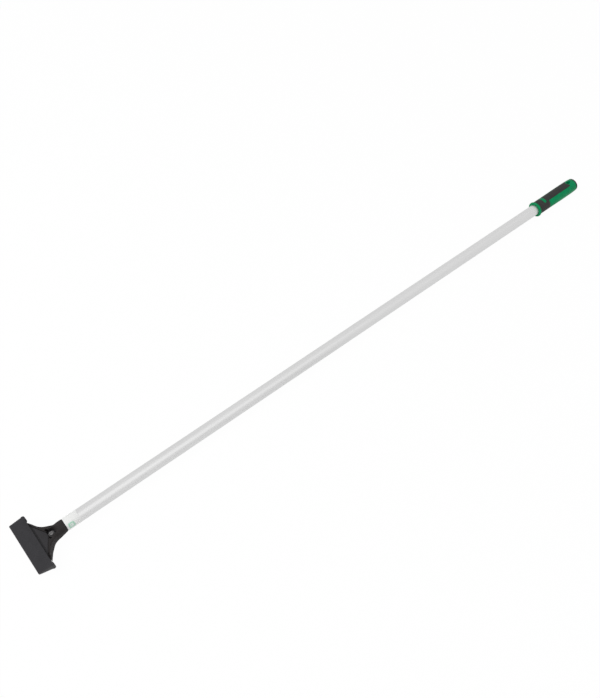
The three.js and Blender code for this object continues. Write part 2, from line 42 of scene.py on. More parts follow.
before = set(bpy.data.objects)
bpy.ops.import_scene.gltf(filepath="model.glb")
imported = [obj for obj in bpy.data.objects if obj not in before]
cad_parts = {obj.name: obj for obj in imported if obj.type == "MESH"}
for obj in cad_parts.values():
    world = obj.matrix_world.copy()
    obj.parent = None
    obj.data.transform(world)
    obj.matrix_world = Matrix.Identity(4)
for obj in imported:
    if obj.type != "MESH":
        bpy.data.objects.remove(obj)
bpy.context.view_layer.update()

MM = 0.001
TUBE_LOW, TUBE_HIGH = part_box("handle_tube")
CORE_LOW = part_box("grip_core")[0]
CAP_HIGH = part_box("end_cap")[1]
SCREW_LOW, SCREW_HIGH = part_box("clamp_screw")
CORE_START = 0.6  # from the front of the grip to its packed core

# Places along are millimetres from the shoulder, where tube and head meet on the tube's axis.
# Places across and up are millimetres from that axis. Angles are in radians.
SHOULDER = np.array([TUBE_LOW.x, 0, (TUBE_LOW.z + TUBE_HIGH.z) / 2])
TUBE_END = (TUBE_HIGH.x - TUBE_LOW.x) / MM
GRIP_START = (CORE_LOW.x - TUBE_LOW.x) / MM - CORE_START
GRIP_LENGTH = (CAP_HIGH.x - TUBE_LOW.x) / MM - GRIP_START
SCREW_X = ((SCREW_LOW.x + SCREW_HIGH.x) / 2 - TUBE_LOW.x) / MM

# Clearances between the pieces, and how far the cutting tools reach
SEAM, SEAM_WIDTH, CLAMP_GAP, PEG_GAP, STEM_GAP = 0.3, 0.8, 0.4, 0.4, 0.2
CLEAR = 14  # up or down from the axis, past the head
OVER = 2  # past the end of what is cut
LAP, SLIVER = 0.01, 0.02  # so that two tools don't end on the same plane

# Head: neck, fan with two ribs, lower jaw
NECK_RADIUS, NECK_LENGTH, NECK_ROUND, NECK_REACH = 11, 8, 1.2, 3.2
FLARE_START, FLARE_RADIUS, FAN_ANGLE, FAN_CORNER = 14, 28, radians(60), 1.5
RAMP_ANGLE = radians(19)
GUARD_REAR, HEAD_FRONT, TRENCH_FRONT, TRENCH_REAR, TRENCH_WEB = -46, -45.6, -45.9, -42.6, 1
RIB_TOP, RIB_WIDTH, BED_TOP, JAW_TIP = 7.2, 3.1, 3.6, 0.3
JAW_FRONT, JAW_REAR, JAW_HALF = -60, -46.7, 46.5
TOP_BLEND, UPPER_BLEND, LOWER_BLEND = 8.5, 18, 16
WALL_DRAFT, DRAFT_START, DRAFT_BLEND = radians(11), 26, 10
SPIGOT_LENGTH, SPIGOT_RADIUS, SPIGOT_BORE, SPIGOT_FLOOR = 40, 9.7, 6, 6
SPIGOT_LEAD, SPIGOT_TAPER = 1, 0.8
PEG_X, PEG_Y, PEG_RADIUS, PEG_BOTTOM, PEG_TOP, PEG_CHAMFER = -53, 25, 1.5, 2, 5.9, 0.4
TONGUE_TOP, TONGUE_BOTTOM, WELL_FLOOR = 0.6, -1.4, -1.7
TONGUE_RADIUS, POCKET_RADIUS, WELL_RADIUS = 6.6, 7.2, 5.8
SCOOP_RADIUS, SCOOP_LEAN = 6, radians(38)
RISER_LENGTH, RELIEF_REACH, RELIEF_RADIUS, RELIEF_ANGLE = 2.8, 8.6, 2.2, radians(118)
PLATE_BOTTOM, PLATE_TOP = 4.8, 6.5
END_RINGS, NECK_RINGS, FAN_RINGS, CORNER_STEPS = 6, 5, 46, 13

# Screw, washer, nut and rivet
SCREW_SEAT, SCREW_TOP, SCREW_LENGTH, SCREW_HOLE, SCREW_HOLE_LOW = 1.1, 3.3, 10, 2.2, -8
SHANK_RADIUS, SHANK_TIP, SHANK_CHAMFER, HEAD_RADIUS = 2, 1.5, 0.6, 3.8
CROWN_WIDTH, CROWN_HEIGHT, CROWN_FLAT, HEAD_CHAMFER = 1.3, 1.1, 1, 0.15
RECESS_REACH, RECESS_HALF, RECESS_DEPTH = 2.2, 0.5, 1.3
WASHER_RADIUS = 4.5
NUT_HALF, NUT_BOTTOM, NUT_TOP = 3.5, -8.7, -5.5
NUT_POCKET_HALF, NUT_POCKET_TOP = 3.7, -5.3
RIVET_X, RIVET_HOLE, RIVET_SEAT, RIVET_SHANK = 30, 1.8, -11.1, 1.6
RIVET_HEAD, RIVET_CROWN, RIVET_FLAT = 3.2, 1.3, 0.4
BULB_RADIUS, BULB_BOTTOM, BULB_TOP, BULB_CHAMFER = 2.3, -5, -4, (0.4, 0.2)

# Tube and label
TUBE_RADIUS, TUBE_INNER, TUBE_CHAMFER = 11, 9.9, 0.2
LABEL_START, LABEL_END, LABEL_INNER, LABEL_RADIUS, LABEL_EDGE = 0.6, 24.6, 11.05, 11.2, (0.05, 0.01)
PATCH_TURN, PATCH_MIDDLE = radians(62), 0.6

# Guard
GUARD_FRONT, GUARD_TOP, GUARD_ROOF = -71.5, 8.6, 7.4
GUARD_FRONT_HALF, GUARD_REAR_HALF, GUARD_INNER_HALF = 48.95, 50.55, 47.75
GUARD_WALL, GUARD_FRONT_WALL, GUARD_CORNER, HOLLOW_REAR = 1.2, 1.5, 1.6, -41.4
EAR_RADIUS, EAR_REACH, EAR_OUT = 3.6, 1.6, 0.6

# Grip, along from the front of its flange
GRIP_TURN = radians(-11.25)
COLLAR_RADIUS, FLANGE_RADIUS, FLANGE_BACK, COLLAR_END = 14, 16, 5.7, 33.1
FLANGE_CURVE = [  # along and out, from the mouth over the rim to the collar
    [1.3, 11.15], [1.2, 12.2], [0.85, 13.2], [0.63, 14.1], [0.63, 14.8], [0.95, 15.4], [1.6, 15.8],
    [2.4, 15.95], [3.1, 15.95], [3.8, 15.6], [4.5, 14.9], [5.1, 14.3], [FLANGE_BACK, COLLAR_RADIUS]]
BELLY_SHARE, BELLY_SWELL = 0.58, 0.3
WAIST_FROM_END, WAIST_SWELL, TAPER_FROM_END, TAPER = 24, 0.2, 12, 0.1
GRIP_BORE, BORE_END = 11.1, 92.3
CAP_LENGTH, CAP_FLAT, POMMEL_RADIUS, CAP_SEAT = 4.6, 6, 13.5, 0.4
CAP_CURVE = [[0.8, 0], [2, 0.04], [3.2, 0.2], [3.9, 0.7], [4.3, 1.8], [4.5, 4]]  # along and inwards
STEM_LENGTH, STEM_RADIUS, STEM_CHAMFER = 4, 4, 0.4
PANEL_START, PANEL_HALF, PANEL_END, PANEL_CORNER = 8.7, 8.5, 100, 2.4
HOLE_AT, HOLE_LENGTH, HOLE_WIDTH, HOLE_RIM = 103, 10.4, 7.6, 1.6
ACCENT_AT, ACCENT_LENGTH, ACCENT_HALF = 23.8, 7.2, 9.4
SKIN_DEPTH = 0.9


class ScraperSizes(bpy.types.PropertyGroup):
    """Sizes of the finish: edges and the plain patch on the label."""

    edge_round: FloatProperty(
        name="Edge round", description="Radius of the guard's rims",
        default=0.8 * MM, unit="LENGTH")
    small_round: FloatProperty(
        name="Small round", description="Radius broken on the edges of the mouldings",
        default=0.25 * MM, unit="LENGTH")
    plate_round: FloatProperty(
        name="Plate round", description="Radius broken on the edges of the clamp plate",
        default=0.2 * MM, unit="LENGTH")
    screw_round: FloatProperty(
        name="Screw round", description="Radius broken on the edges of the screw",
        default=0.08 * MM, unit="LENGTH")
    patch_length: FloatProperty(
        name="Patch length", description="Length of the printed frame along the tube",
        default=11 * MM, unit="LENGTH")
    patch_line: FloatProperty(
        name="Patch line", description="Width of the printed frame's line",
        default=2.4 * MM, unit="LENGTH")
    patch_from_shoulder: FloatProperty(
        name="Patch place", description="Distance from the shoulder to the frame's middle",
        default=8.6 * MM, unit="LENGTH")


class ScraperColours(bpy.types.PropertyGroup):
    """Colours of the finishes, as linear red, green and blue."""

    guard: FloatVectorProperty(
        name="Guard", description="Moulded plastic of the blade guard",
        default=(0.0265, 0.0258, 0.0287), subtype="COLOR")
    head: FloatVectorProperty(
        name="Head", description="Moulded plastic of the head",
        default=(0.0296, 0.0268, 0.0268), subtype="COLOR")
    clamp: FloatVectorProperty(
        name="Clamp plate", description="Moulded plastic of the clamp plate",
        default=(0.0232, 0.0221, 0.0242), subtype="COLOR")
    steel: FloatVectorProperty(
        name="Blade steel", description="Ground steel of the blade",
        default=(0.5, 0.51, 0.53), subtype="COLOR")
    plated: FloatVectorProperty(
        name="Plated steel", description="Screw, washer and nut",
        default=(0.19, 0.186, 0.187), subtype="COLOR")
    tube: FloatVectorProperty(
        name="Tube", description="Satin aluminium of the tube",
        default=(0.668, 0.668, 0.668), subtype="COLOR")
    label: FloatVectorProperty(
        name="Label", description="White film round the tube",
        default=(0.8, 0.805, 0.795), subtype="COLOR")
    patch: FloatVectorProperty(
        name="Patch", description="Plain printed frame on the label",
        default=(0.42, 0.66, 0.53), subtype="COLOR")
    green: FloatVectorProperty(
        name="Green", description="Hard plastic of the grip's core",
        default=(0.0005, 0.25, 0.092), subtype="COLOR")
    rubber: FloatVectorProperty(
        name="Rubber", description="Soft skin and end cap of the grip",
        default=(0.0325, 0.033, 0.0315), subtype="COLOR")


# ---- Surfaces ----


def from_shoulder(points):
    """A point in the frame is the shoulder plus the millimetres along, across and up."""
    return np.asarray(points, float) * MM + SHOULDER


def from_flange(points):
    """A grip point turns about the tube by the grip's angle and moves on by the tube's length.

    across = y cos(turn) - z sin(turn), up = y sin(turn) + z cos(turn).
    """
    x, y, z = np.moveaxis(np.asarray(points, float), -1, 0)
    across = y * cos(GRIP_TURN) - z * sin(GRIP_TURN)
    up = y * sin(GRIP_TURN) + z * cos(GRIP_TURN)
    return from_shoulder(np.stack([x + GRIP_START, across, up], -1))


def grid_faces(rows, columns, rows_closed):
    """Quads between each point, the next in its ring, and the same two in the next ring."""
    last = rows if rows_closed else rows - 1
    row = np.arange(last)[:, None]
    column = np.arange(columns)[None, :]
    below, beside = (row + 1) % rows, (column + 1) % columns
    corners = [row * columns + column, row * columns + beside,
               below * columns + beside, below * columns + column]
    return np.stack([np.broadcast_to(c, (last, columns)) for c in corners], -1).reshape(-1, 4)


def skinned(name, rings, loop=False, place=from_shoulder):
    """A closed mesh through a stack of rings: quads between them and a flat cap at each end.

    With loop the last ring joins the first, as on a tube's wall.
    """
    rings = np.asarray(rings, float)
    count, around = rings.shape[:2]
    faces = grid_faces(count, around, loop).tolist()
    if not loop:
        faces += [list(range(around)), list(range((count - 1) * around, count * around))]
    mesh = bpy.data.meshes.new(name)
    mesh.from_pydata(place(rings.reshape(-1, 3)).tolist(), [], faces)
    outwards(mesh)
    piece = bpy.data.objects.new(name, mesh)
    bpy.context.scene.collection.objects.link(piece)
    return piece


def outwards(mesh):
    """Points that coincide become one, and every face points out of the closed form."""
    near = 1e-7
    work = bmesh.new()
    work.from_mesh(mesh)
    bmesh.ops.remove_doubles(work, verts=work.verts, dist=near)
    bmesh.ops.recalc_face_normals(work, faces=work.faces)
    work.to_mesh(mesh)
    work.free()
    mesh.update()


def turned(name, profile, sides=128, loop=False, place=from_shoulder):
    """A profile of [along, radius] turned about the tube: y = radius cos(t), z = radius sin(t)."""
    along, radius = np.asarray(profile, float).T[:, :, None]
    angle = np.linspace(0, 2 * pi, sides, endpoint=False)[None, :]
    rings = [along + 0 * angle, radius * np.cos(angle), radius * np.sin(angle)]
    return skinned(name, np.stack(rings, -1), loop, place)


def upright(name, profile, x, y, sides, loop=False):
    """A profile of [radius, height] turned about an upright axis at x, y."""
    radius, height = np.asarray(profile, float).T[:, :, None]
    angle = np.linspace(0, 2 * pi, sides, endpoint=False)[None, :]
    rings = [x + radius * np.cos(angle), y + radius * np.sin(angle), height + 0 * angle]
    return skinned(name, np.stack(rings, -1), loop)


def post(radius, x, y, low, high, sides):
    """A plain round bar standing at x, y."""
    return upright("post", [[radius, low], [radius, high]], x, y, sides)


def inset(outline, distance):
    """Moves each point of a closed outline inwards along the mitre of its two sides."""
    forward = np.roll(outline, -1, 0) - outline
    forward /= np.linalg.norm(forward, axis=1)[:, None]
    normal = np.stack([-forward[:, 1], forward[:, 0]], -1)
    before = np.roll(normal, 1, 0)
    share = 1 + (normal * before).sum(1)[:, None]
    return outline + distance * (normal + before) / share


def rounded(name, outline, low, high, edge=0.0, steps=4, place=from_shoulder):
    """A flat outline raised from low to high, with its rims rounded through a quarter circle.

    low may be a function of x, for a sloping underside. Ring k is the outline moved in by
    edge (1 - cos t) and up or down by edge (1 - sin t).
    """
    floor = low if callable(low) else (lambda x: low + 0 * x)
    outline = np.asarray(outline, float)
    x, y = outline.T
    area = np.sum(x * np.roll(y, -1) - y * np.roll(x, -1))
    outline = outline if area > 0 else outline[::-1]
    lower, upper = [], []
    for t in np.linspace(0, pi / 2, steps + 1) if edge else [pi / 2]:
        flat = inset(outline, edge * (1 - sin(t))) if edge else outline
        lower.append(np.column_stack([flat, floor(flat[:, 0]) + edge - edge * cos(t)]))
        upper.append(np.column_stack([flat, high + 0 * flat[:, 0] - edge + edge * cos(t)]))
    return skinned(name, np.array(lower + upper[::-1]), place=place)


def arc(x, y, radius, start, end, steps):
    """Points at x + radius cos(t), y + radius sin(t)."""
    t = np.linspace(start, end, steps)
    return np.stack([x + radius * np.cos(t), y + radius * np.sin(t)], -1)


def smooth_line(knots, count):
    """A curve through knots: each span is the cubic set by its ends and their neighbours."""
    knots = np.asarray(knots, float)
    padded = np.vstack([2 * knots[0] - knots[1], knots, 2 * knots[-1] - knots[-2]])
    place = np.linspace(0, len(knots) - 1, count)
    span = np.minimum(place.astype(int), len(knots) - 2)
    t = (place - span)[:, None]
    a, b, c, d = (padded[span + k] for k in range(4))
    return 0.5 * (2 * b + (c - a) * t + (2 * a - 5 * b + 4 * c - d) * t ** 2
                  + (3 * b - a - 3 * c + d) * t ** 3)


def shaped(blank, tools, operation="DIFFERENCE"):
    """Cuts tools from a blank, or joins them to it, and takes the tools away."""
    for tool in tools:
        step = blank.modifiers.new("shape", "BOOLEAN")
        step.operation, step.solver, step.object = operation, "EXACT", tool
        settled(blank)
        bpy.data.objects.remove(tool)


def triangulated(piece):
    """Splits every face into triangles, so that one with a hole in it stays whole in later cuts."""
    work = bmesh.new()
    work.from_mesh(piece.data)
    bmesh.ops.triangulate(work, faces=work.faces)
    work.to_mesh(piece.data)
    work.free()
    return piece


def settled(piece):
    """Makes the result of a piece's modifiers its own mesh."""
    depsgraph = bpy.context.evaluated_depsgraph_get()
    mesh = bpy.data.meshes.new_from_object(piece.evaluated_get(depsgraph))
    piece.modifiers.clear()
    piece.data = mesh


def ordered(piece):
    """Numbers the points by place and the faces by their points, so that every run is the same.

    A cut gives the same points and faces each time, but in any order.
    """
    old = piece.data
    points = np.empty(3 * len(old.vertices))
    old.vertices.foreach_get("co", points)
    points = points.reshape(-1, 3)
    order = np.lexsort(points.T)
    number = np.argsort(order)
    rings = [number[list(face.vertices)] for face in old.polygons]
    faces = sorted(np.roll(ring, -ring.argmin()).tolist() for ring in rings)
    mesh = bpy.data.meshes.new(piece.name)
    mesh.from_pydata(points[order].tolist(), [], faces)
    mesh.update()
    piece.data = mesh


def softened(piece, width, angle=40):
    """Breaks the sharp edges, then shades smoothly up to the given angle."""
    near, flat = 2e-6, radians(0.2)
    ordered(piece)
    work = bmesh.new()
    work.from_mesh(piece.data)
    bmesh.ops.remove_doubles(work, verts=work.verts, dist=near)
    bmesh.ops.dissolve_degenerate(work, dist=near, edges=work.edges)
    bmesh.ops.dissolve_limit(work, angle_limit=flat, verts=work.verts, edges=work.edges)
    work.to_mesh(piece.data)
    work.free()
    if width:
        bevel = piece.modifiers.new("edges", "BEVEL")
        bevel.width, bevel.segments = width, 2
        bevel.limit_method, bevel.angle_limit = "ANGLE", radians(angle)
        bevel.use_clamp_overlap = True
        bevel.miter_outer = "MITER_ARC"
        settled(piece)
    shaded(piece, angle)


def shaded(piece, angle=35):
    """Smooth shading that breaks at edges sharper than the angle."""
    piece.data.shade_smooth()
    piece.data.set_sharp_from_angle(angle=radians(angle))


def finished(piece, body, material, node):
    """Gives a piece its finish and the body it moves with, and hides the CAD node it stands for."""
    piece.data.materials.clear()
    piece.data.materials.append(material)
    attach(piece, body)
    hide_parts(node)


# ---- Finishes ----


class Finish:
    """A procedural material: one surface shader and the patterns that feed it."""

    def __init__(self, name, colour, **sockets):
        self.material = bpy.data.materials.new(name)
        self.material.use_nodes = True
        self.tree = self.material.node_tree
        self.shader = self.tree.nodes["Principled BSDF"]
        self.set("Base Color", (*colour, 1))
        for key, value in sockets.items():
            self.set(key.replace("_", " ").title().replace("Ior", "IOR"), value)
        self.coords = self.add("ShaderNodeTexCoord").outputs["Object"]
        self.colour = tuple(colour)

    def add(self, kind, **properties):
        """A new node of a kind, with its properties set."""
        node = self.tree.nodes.new(kind)
        for key, value in properties.items():
            setattr(node, key, value)
        return node

    def set(self, socket, value):
        """Sets one of the surface's inputs."""
        self.shader.inputs[socket].default_value = value

    def link(self, source, target):
        """Feeds an input from an output."""
        self.tree.links.new(source, target)

    def noise(self, size, stretch=(1, 1, 1), detail=3, rough=0.5):
        """Noise with features about size metres across, stretched along each axis."""
        mapping = self.add("ShaderNodeMapping")
        mapping.inputs["Scale"].default_value = tuple(1 / s for s in stretch)
        self.link(self.coords, mapping.inputs["Vector"])
        node = self.add("ShaderNodeTexNoise")
        node.inputs["Scale"].default_value = 1 / size
        node.inputs["Detail"].default_value = detail
        node.inputs["Roughness"].default_value = rough
        self.link(mapping.outputs["Vector"], node.inputs["Vector"])
        return node.outputs["Fac"]

    def ranged(self, value, low, high):
        """Maps a pattern's middle range, from 0.3 to 0.7, to low and high."""
        node = self.add("ShaderNodeMapRange")
        self.link(value, node.inputs["Value"])
        limits = {"From Min": 0.3, "From Max": 0.7, "To Min": low, "To Max": high}
        for key, number in limits.items():
            node.inputs[key].default_value = number
        return node.outputs["Result"]

    def shade_with(self, pattern, dark, light):
        """Colour that swings between dark and light shares of the base colour."""
        mix = self.add("ShaderNodeMix", data_type="RGBA")
        self.link(self.ranged(pattern, 0, 1), mix.inputs["Factor"])
        mix.inputs["A"].default_value = (*[c * dark for c in self.colour], 1)
        mix.inputs["B"].default_value = (*[min(c * light, 1) for c in self.colour], 1)
        self.link(mix.outputs["Result"], self.shader.inputs["Base Color"])

    def roughen(self, pattern, low, high):
        """Roughness that runs from low to high with the pattern."""
        self.link(self.ranged(pattern, low, high), self.shader.inputs["Roughness"])

    def bump(self, pattern, depth):
        """Raises the surface by up to depth metres where the pattern is high."""
        node = self.add("ShaderNodeBump")
        node.inputs["Distance"].default_value = depth
        node.inputs["Strength"].default_value = 1
        self.link(pattern, node.inputs["Height"])
        self.link(node.outputs["Normal"], self.shader.inputs["Normal"])


def moulded(name, colour, rough, grain=0.35 * MM, depth=0.012 * MM, sheen=0.25):
    """Moulded plastic: fine grain, uneven sheen and a little drift of colour."""
    drift_size, sheen_size = 9 * MM, 1.6 * MM
    finish = Finish(name, colour, specular_ior_level=sheen)
    finish.shade_with(finish.noise(drift_size), 0.9, 1.1)
    finish.roughen(finish.noise(sheen_size), rough - 0.05, rough + 0.06)
    finish.bump(finish.noise(grain, rough=0.6), depth)
    return finish


def drawn_metal(name, colour, rough, lines=(60, 1, 1), depth=0.002 * MM, size=0.5 * MM):
    """Metal with fine lines along the way it was drawn or ground, in sheen and relief."""
    drift_size, drift_stretch = 4 * MM, (30, 1, 1)
    finish = Finish(name, colour, metallic=1.0)
    streaks = finish.noise(size, lines, detail=4, rough=0.65)
    finish.shade_with(finish.noise(drift_size, drift_stretch), 0.985, 1.015)
    finish.roughen(streaks, rough - 0.05, rough + 0.07)
    finish.bump(streaks, depth)
    return finish


def seen(nodes, links):
    """One where a ray comes from the camera, a glossy surface or glass, else zero."""
    path = nodes.new("ShaderNodeLightPath")
    source = path.outputs["Is Camera Ray"]
    for kind in ("Is Glossy Ray", "Is Transmission Ray"):
        either = nodes.new("ShaderNodeMath")
        either.operation = "MAXIMUM"
        links.new(source, either.inputs[0])
        links.new(path.outputs[kind], either.inputs[1])
        source = either.outputs["Value"]
    return source


# ---- Pieces ----


def underside(x):
    """Height of the head's sloping underside."""
    return JAW_TIP - tan(RAMP_ANGLE) * (x - JAW_FRONT)


def eased(share):
    """A share held from 0 to 1, with a soft start and end: s s (3 - 2 s)."""
    held = np.clip(share, 0, 1)
    return held * held * (3 - 2 * held)


def fan_half(x):
    """Half the fan's width: the neck's radius, an arc, then a straight side at the fan's angle."""
    x = np.asarray(x, float)
    run = np.maximum(-FLARE_START - x, 0)
    end_x = -FLARE_START - FLARE_RADIUS * sin(FAN_ANGLE)
    end_y = NECK_RADIUS + FLARE_RADIUS * (1 - cos(FAN_ANGLE))
    bow = NECK_RADIUS + FLARE_RADIUS - np.sqrt(np.maximum(FLARE_RADIUS ** 2 - run ** 2, 0))
    return np.where(x < end_x, end_y + (end_x - x) * tan(FAN_ANGLE), bow)


def apex_x():
    """Where the inner sides of the two ribs meet behind the clamp plate."""
    end_x = -FLARE_START - FLARE_RADIUS * sin(FAN_ANGLE)
    return end_x + (float(fan_half(end_x)) - RIB_WIDTH / cos(FAN_ANGLE)) / tan(FAN_ANGLE)


def wedge_outline(front, rear, gap):
    """The flat between the ribs from front to rear, drawn in by a gap."""
    wide = [(apex_x() - x) * tan(FAN_ANGLE) - gap / cos(FAN_ANGLE) for x in (front, rear)]
    near = max(wide[1], gap)
    return [[front, -wide[0]], [rear, -near], [rear, near], [front, wide[0]]]


def across(points, half):
    """An outline of [along, up] points drawn out to both sides of the middle."""
    outline = np.asarray(points, float)
    along, up = outline.T
    rings = [np.column_stack([along, 0 * along + y, up]) for y in (-half, half)]
    return skinned("across", np.array(rings))


def head_rings():
    """Sections of the head from the shoulder to the guard.

    Each is a rectangle with rounded corners. Its upper half width is the fan's, its lower one wider
    by the walls' draft. Its top eases from the neck's radius to the ribs' height, and its corner
    radii run from the neck's radius to the fan's. At the shoulder a quarter ellipse rounds the
    neck's end: x = reach (cos t - 1), drawn in by round (1 - sin t).
    """
    t = np.linspace(0, pi / 2, END_RINGS)
    plain = -np.concatenate([np.linspace(NECK_REACH, NECK_LENGTH, NECK_RINGS)[1:-1],
                             np.linspace(NECK_LENGTH, -HEAD_FRONT, FAN_RINGS)])
    x = np.concatenate([NECK_REACH * (np.cos(t) - 1), plain])
    drawn_in = np.concatenate([NECK_ROUND * (1 - np.sin(t)), 0 * plain])
    top = NECK_RADIUS + (RIB_TOP - NECK_RADIUS) * eased((-x - NECK_LENGTH) / TOP_BLEND)
    bottom = np.maximum(-NECK_RADIUS, underside(x))
    spread = tan(WALL_DRAFT) * (top - bottom) * eased((-x - DRAFT_START) / DRAFT_BLEND)
    shares = eased((-x - NECK_LENGTH) / UPPER_BLEND), np.clip(-x / LOWER_BLEND, 0, 1)
    steps = np.linspace(0, pi / 2, CORNER_STEPS)
    parts = []
    for right, up, quarter in ((1, 1, 0), (-1, 1, 1), (-1, -1, 2), (1, -1, 3)):
        half = fan_half(x) if up > 0 else fan_half(x) + spread
        wanted = NECK_RADIUS + (FAN_CORNER - NECK_RADIUS) * shares[0 if up > 0 else 1]
        full = np.minimum(wanted, np.minimum(half, (top - bottom) / 2) - SLIVER)
        radius = (full - drawn_in)[:, None]
        angle = quarter * pi / 2 + steps[None, :]
        y = (right * (half - full))[:, None] + radius * np.cos(angle)
        middle = (top - full if up > 0 else bottom + full)[:, None]
        parts.append(np.stack([x[:, None] + 0 * angle, y, middle + radius * np.sin(angle)], -1))
    return np.concatenate(parts, 1)


def trench(front, low):
    """Space above low, from front back to the ribs and the flat between them."""
    section = [[front, low], [TRENCH_REAR, low], [TRENCH_REAR, CLEAR], [front, CLEAR]]
    return across(section, GUARD_REAR_HALF)


def scoop():
    """A round bar that leans back from the screw's pocket: x moves by tan(lean) a unit up."""
    t = np.linspace(0, 2 * pi, 96, endpoint=False)
    rings = [np.stack([SCREW_X + tan(SCOOP_LEAN) * (z - TONGUE_TOP) + SCOOP_RADIUS * np.cos(t),
                       SCOOP_RADIUS * np.sin(t), z + 0 * t], -1) for z in (TONGUE_TOP, CLEAR)]
    return skinned("scoop", np.array(rings))


def head_form(sizes):
    """Neck, fan and lower jaw in one, with the clamp's pocket, the screw's hole and the pegs."""
    body = skinned("head", head_rings())
    jaw = [[JAW_FRONT, underside(JAW_FRONT)], [JAW_REAR, underside(JAW_REAR)],
           [JAW_REAR, BED_TOP], [JAW_FRONT, BED_TOP]]
    front, rear = JAW_REAR - OVER, HEAD_FRONT + OVER
    bridge = [[front, underside(front)], [rear, underside(rear)], [rear, BED_TOP], [front, BED_TOP]]
    spigot = [[-NECK_LENGTH / 2, SPIGOT_RADIUS], [SPIGOT_LENGTH - SPIGOT_LEAD, SPIGOT_RADIUS],
              [SPIGOT_LENGTH, SPIGOT_RADIUS - SPIGOT_TAPER]]
    peg = [[PEG_RADIUS, PEG_BOTTOM], [PEG_RADIUS, PEG_TOP - PEG_CHAMFER],
           [PEG_RADIUS - PEG_CHAMFER, PEG_TOP]]
    shaped(body, [
        across(jaw, JAW_HALF),
        across(bridge, float(fan_half(HEAD_FRONT)) - FAN_CORNER),
        turned("spigot", spigot, 64),
        *[upright("peg", peg, PEG_X, y, 40) for y in (PEG_Y, -PEG_Y)],
    ], "UNION")
    riser_rear = SCREW_X - WELL_RADIUS
    riser_front = riser_rear - RISER_LENGTH
    relief_x = SCREW_X + RELIEF_REACH * cos(RELIEF_ANGLE)
    relief_y = RELIEF_REACH * sin(RELIEF_ANGLE)
    shaped(body, [
        rounded("seat", wedge_outline(HEAD_FRONT - OVER, riser_front, 0), BED_TOP, CLEAR),
        trench(HEAD_FRONT - OVER, BED_TOP),
        rounded("riser", wedge_outline(riser_front - SEAM, riser_rear, 0), WELL_FLOOR, CLEAR),
        post(POCKET_RADIUS, SCREW_X, 0, WELL_FLOOR, CLEAR, 96),
        *[post(RELIEF_RADIUS, relief_x, y, WELL_FLOOR, CLEAR, 40) for y in (relief_y, -relief_y)],
        scoop(),
        post(SCREW_HOLE, SCREW_X, 0, SCREW_HOLE_LOW, CLEAR, 48),
        post(NUT_POCKET_HALF / cos(pi / 6), SCREW_X, 0, -CLEAR, NUT_POCKET_TOP, 6),
        turned("bore", [[SPIGOT_FLOOR, SPIGOT_BORE], [SPIGOT_LENGTH + OVER, SPIGOT_BORE]], 48),
        rivet_hole(),
    ])
    softened(body, sizes.small_round)
    return body


def rivet_hole():
    """The rivet's hole, up through the tube and the spigot's lower wall."""
    return post(RIVET_HOLE, RIVET_X, 0, -2 * TUBE_RADIUS, 0, 32)


def guard_outline():
    """Plan of the guard: straight rear, a round ear at each rear corner, rounded front corners."""
    ear_x = GUARD_REAR + EAR_REACH - EAR_RADIUS
    ear_y = GUARD_REAR_HALF + EAR_OUT - EAR_RADIUS
    inner = np.arccos((GUARD_REAR - ear_x) / EAR_RADIUS)
    slope = (GUARD_REAR_HALF - GUARD_FRONT_HALF) / (GUARD_REAR - GUARD_FRONT)
    side_y = GUARD_REAR_HALF + slope * (ear_x - EAR_RADIUS / 2 - GUARD_REAR)
    outer = pi - np.arcsin((side_y - ear_y) / EAR_RADIUS)
    ear = arc(ear_x, ear_y, EAR_RADIUS, -inner, outer, 36)
    corner = arc(GUARD_FRONT + GUARD_CORNER, GUARD_FRONT_HALF - GUARD_CORNER, GUARD_CORNER,
                 pi / 2, pi, 10)
    side = np.concatenate([ear, corner])
    return np.concatenate([side, side[::-1] * [1, -1]])


def guard_form(sizes):
    """A flat-topped wedge with rounded rims, hollowed from the back to the shape of the jaws."""
    edge = sizes.edge_round / MM
    drop = SEAM + GUARD_WALL
    body = rounded("guard", guard_outline(), lambda x: underside(x) - drop, GUARD_TOP, edge, 5)
    front, rear = GUARD_FRONT + GUARD_FRONT_WALL, HOLLOW_REAR
    hollow = [[front, underside(front) - SEAM], [rear, underside(rear) - SEAM],
              [rear, GUARD_ROOF], [front, GUARD_ROOF]]
    shaped(body, [across(hollow, GUARD_INNER_HALF)])
    softened(body, sizes.small_round)
    return body


def clamp_form(sizes):
    """Upper jaw, the flat between the ribs, and a low round tongue in a well under the screw."""
    riser_rear = SCREW_X - WELL_RADIUS
    riser_front = riser_rear - RISER_LENGTH
    front = JAW_FRONT + CLAMP_GAP
    jaw = [[front, -JAW_HALF], [JAW_REAR, -JAW_HALF], [JAW_REAR, JAW_HALF], [front, JAW_HALF]]
    heel = wedge_outline(JAW_REAR - LAP, riser_rear, SEAM_WIDTH)
    riser = wedge_outline(riser_front, riser_rear, SEAM_WIDTH)
    body = rounded("clamp", jaw, PLATE_BOTTOM, PLATE_TOP)
    shaped(body, [
        rounded("heel", heel, BED_TOP + SEAM, PLATE_TOP),
        rounded("riser", riser, TONGUE_BOTTOM, PLATE_TOP),
        post(TONGUE_RADIUS, SCREW_X, 0, TONGUE_BOTTOM, TONGUE_TOP, 96),
    ], "UNION")
    shaped(body, [
        post(WELL_RADIUS, SCREW_X, 0, TONGUE_TOP, CLEAR, 96),
        post(SCREW_HOLE, SCREW_X, 0, SCREW_HOLE_LOW, CLEAR, 48),
        *[post(PEG_RADIUS + PEG_GAP, PEG_X, y, 0, CLEAR, 40) for y in (PEG_Y, -PEG_Y)],
        trench(TRENCH_FRONT, BED_TOP + SEAM + TRENCH_WEB),
    ])
    softened(body, sizes.plate_round)
    return body


